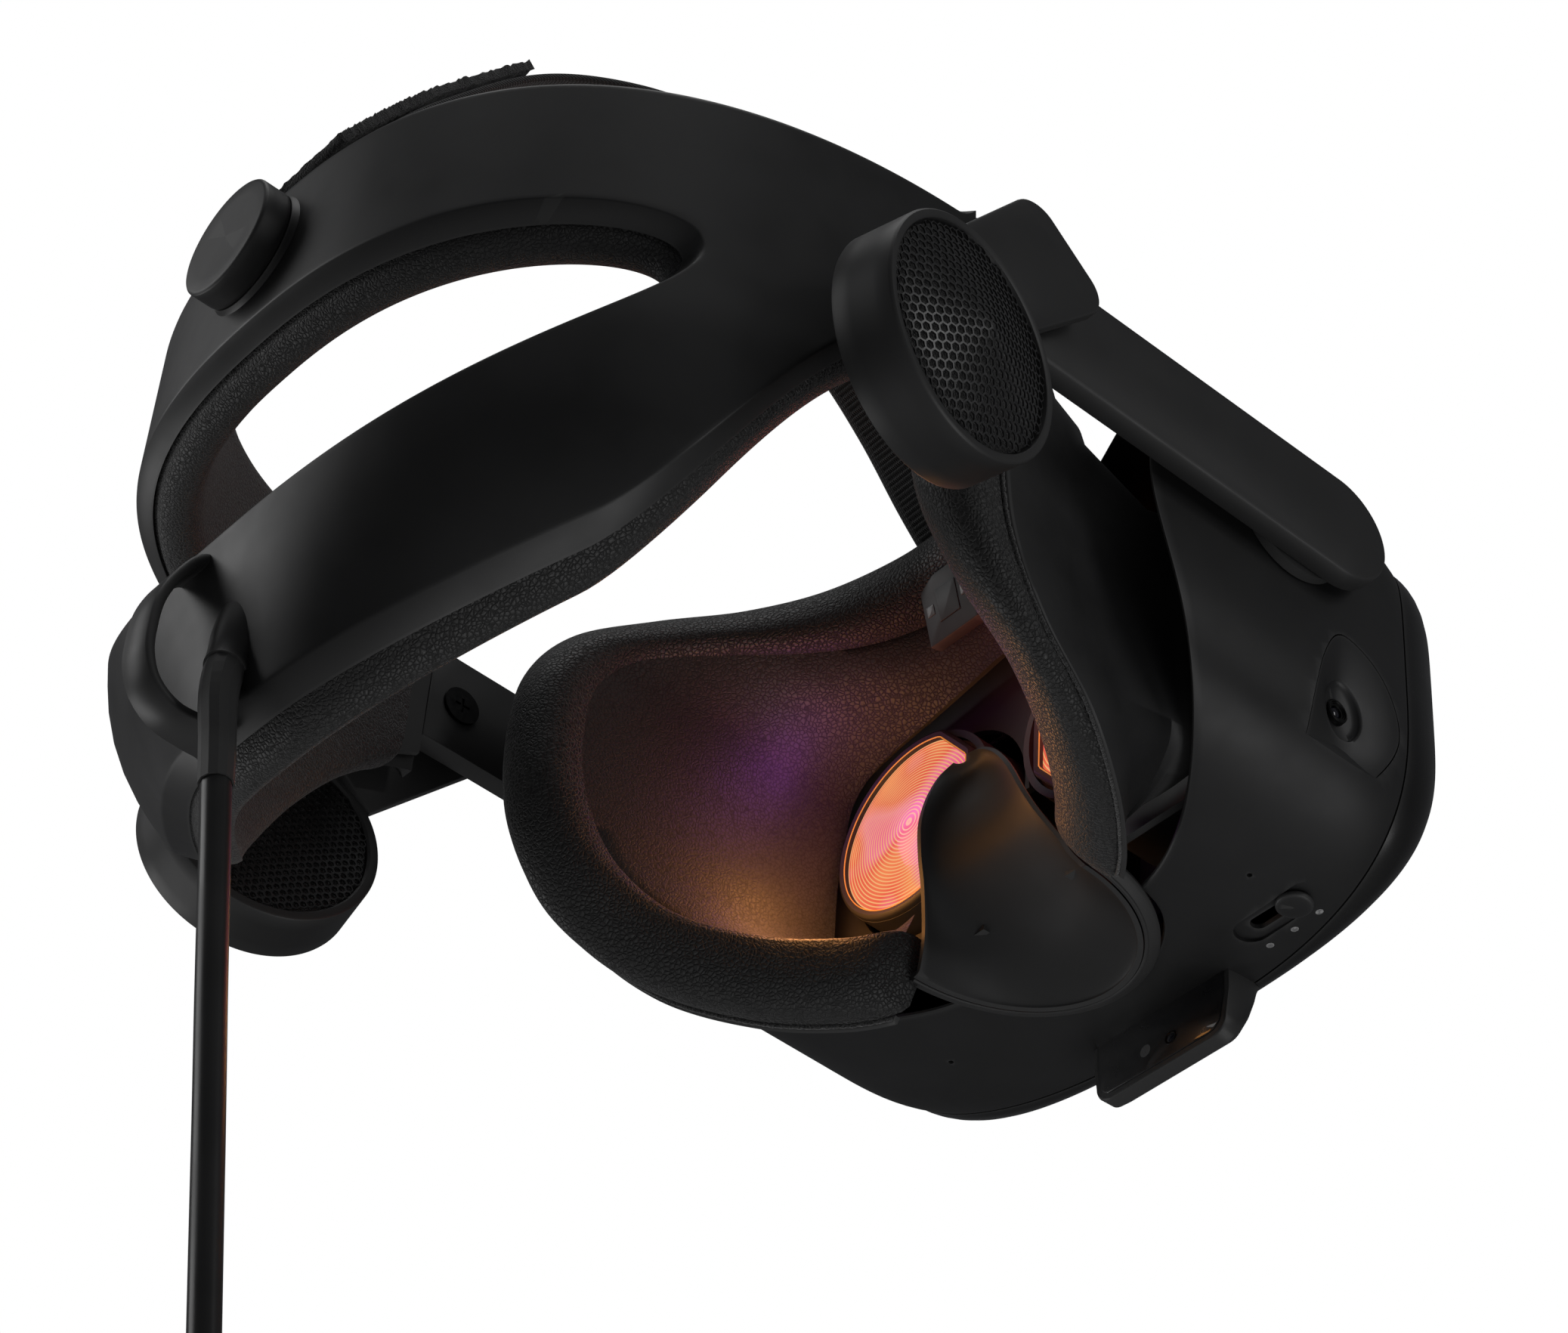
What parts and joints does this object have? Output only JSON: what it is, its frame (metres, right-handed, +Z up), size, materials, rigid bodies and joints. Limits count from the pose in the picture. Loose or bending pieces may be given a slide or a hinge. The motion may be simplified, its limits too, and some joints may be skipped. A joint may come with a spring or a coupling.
{
  "type": "vr headset",
  "caption": "Tethered headset worn over the eyes, with a padded rear halo, a size dial, off-ear speakers, a top strap and a soft face gasket.",
  "frame": {"origin": "centre of the wearer's head, midway between the two speaker pivots", "axes": "+Z up, the wearer faces -Y, +X is the wearer's left"},
  "size_m": [0.2688, 0.3083, 0.6227],
  "materials": {
    "board_green": "circuit board",
    "button_grey": "button",
    "cable_black": "smooth jacket",
    "camera_glass": "camera lens",
    "cover_black": "smooth front cover",
    "display_glass": "display panel",
    "driver_grey": "speaker driver",
    "grille_black": "hexagonal mesh",
    "hook_fabric": "hook and loop tape",
    "leather_black": "grained synthetic leather over foam",
    "lens_clear": "fresnel lens, lit from behind",
    "liner_black": "moulded carrier",
    "mic_metal": "microphone can",
    "nose_rubber": "soft moulded rubber",
    "rack_nylon": "flexible nylon",
    "screw_black": "black oxide",
    "shell_black": "satin injection moulded",
    "steel": "turned",
    "strap_fabric": "ribbed woven band",
    "window_black": "dark infrared window"
  },
  "bodies": {
    "headband": {"halo_upper_shell": "shell_black", "halo_lower_shell": "shell_black", "halo_upper_liner": "liner_black", "halo_lower_liner": "liner_black", "halo_upper_pad": "leather_black", "halo_lower_pad": "leather_black", "dial_boss": "shell_black", "cable_loop": "shell_black", "cable_gland": "shell_black", "strain_relief": "cable_black", "cable": "cable_black", "cable_coil": "cable_black", "cable_tie": "hook_fabric", "cable_plug": "cable_black", "strap_rear": "strap_fabric", "strap_lap": "hook_fabric"},
    "dial": {"dial_knob": "shell_black", "dial_shaft": "steel", "dial_pinion": "rack_nylon"},
    "arms": {"arm_left": "shell_black", "arm_right": "shell_black", "rack_left": "rack_nylon", "rack_right": "rack_nylon", "hinge_discs": "shell_black", "hinge_pins": "steel", "pivot_screws": "screw_black"},
    "speaker_left": {"speaker_plate_left": "shell_black", "pivot_stub_left": "screw_black", "speaker_drum_left": "shell_black", "ear_grille_left": "grille_black", "rear_grille_left": "grille_black", "speaker_driver_left": "driver_grey"},
    "speaker_right": {"speaker_plate_right": "shell_black", "pivot_stub_right": "screw_black", "speaker_drum_right": "shell_black", "ear_grille_right": "grille_black", "rear_grille_right": "grille_black", "speaker_driver_right": "driver_grey"},
    "visor": {"strap_front": "strap_fabric", "visor_housing": "shell_black", "front_cover": "cover_black", "lens_bulkhead": "liner_black", "displays": "display_glass", "mainboard": "board_green", "side_camera_dishes": "shell_black", "side_camera_lenses": "camera_glass", "face_camera_pod": "shell_black", "pod_window": "window_black", "microphones": "mic_metal", "nose_flap": "nose_rubber", "ipd_rail": "steel"},
    "ipd_button": {"ipd_button": "button_grey"},
    "left_eye": {"lens_barrel_left": "liner_black", "lens_left": "lens_clear"},
    "right_eye": {"lens_barrel_right": "liner_black", "lens_right": "lens_clear"},
    "gasket": {"gasket_frame": "liner_black", "face_cushion": "leather_black", "sensor_plate": "window_black", "gasket_magnets": "steel"}
  },
  "joints": [
    {"name": "fit_slide", "type": "slide", "parent": "headband", "child": "arms", "axis": [0, -1, 0], "range_m": [0, 0.02], "deforming": ["rack_left", "rack_right", "strap_rear", "strap_front"]},
    {"name": "dial_turn", "type": "hinge", "parent": "headband", "child": "dial", "pos_m": [0, 0.138, -0.011], "axis": [0, 1, 0], "range_deg": [0, 200]},
    {"name": "visor_tilt", "type": "hinge", "parent": "arms", "child": "visor", "pos_m": [0, -0.099, 0], "axis": [-1, 0, 0], "range_deg": [-3, 20], "deforming": ["strap_front"]},
    {"name": "speaker_left_swing", "type": "hinge", "parent": "arms", "child": "speaker_left", "pos_m": [0.116, 0, 0], "axis": [1, 0, 0], "range_deg": [-12, 12]},
    {"name": "speaker_right_swing", "type": "hinge", "parent": "arms", "child": "speaker_right", "pos_m": [-0.116, 0, 0], "axis": [1, 0, 0], "range_deg": [-12, 12]},
    {"name": "gasket_pull", "type": "slide", "parent": "visor", "child": "gasket", "axis": [0, 1, 0], "range_m": [0, 0.02]},
    {"name": "ipd_slide", "type": "slide", "parent": "visor", "child": "ipd_button", "axis": [1, 0, 0], "range_m": [0, 0.013]},
    {"name": "left_eye_slide", "type": "slide", "parent": "visor", "child": "left_eye", "axis": [-1, 0, 0], "range_m": [0, 0.004]},
    {"name": "right_eye_slide", "type": "slide", "parent": "visor", "child": "right_eye", "axis": [1, 0, 0], "range_m": [0, 0.004]}
  ],
  "couplings": [
    {"joint": "dial_turn", "follows": "fit_slide", "rad_per_m": 166.67},
    {"joint": "left_eye_slide", "follows": "ipd_slide", "ratio": 0.3077},
    {"joint": "right_eye_slide", "follows": "ipd_slide", "ratio": 0.3077}
  ]
}
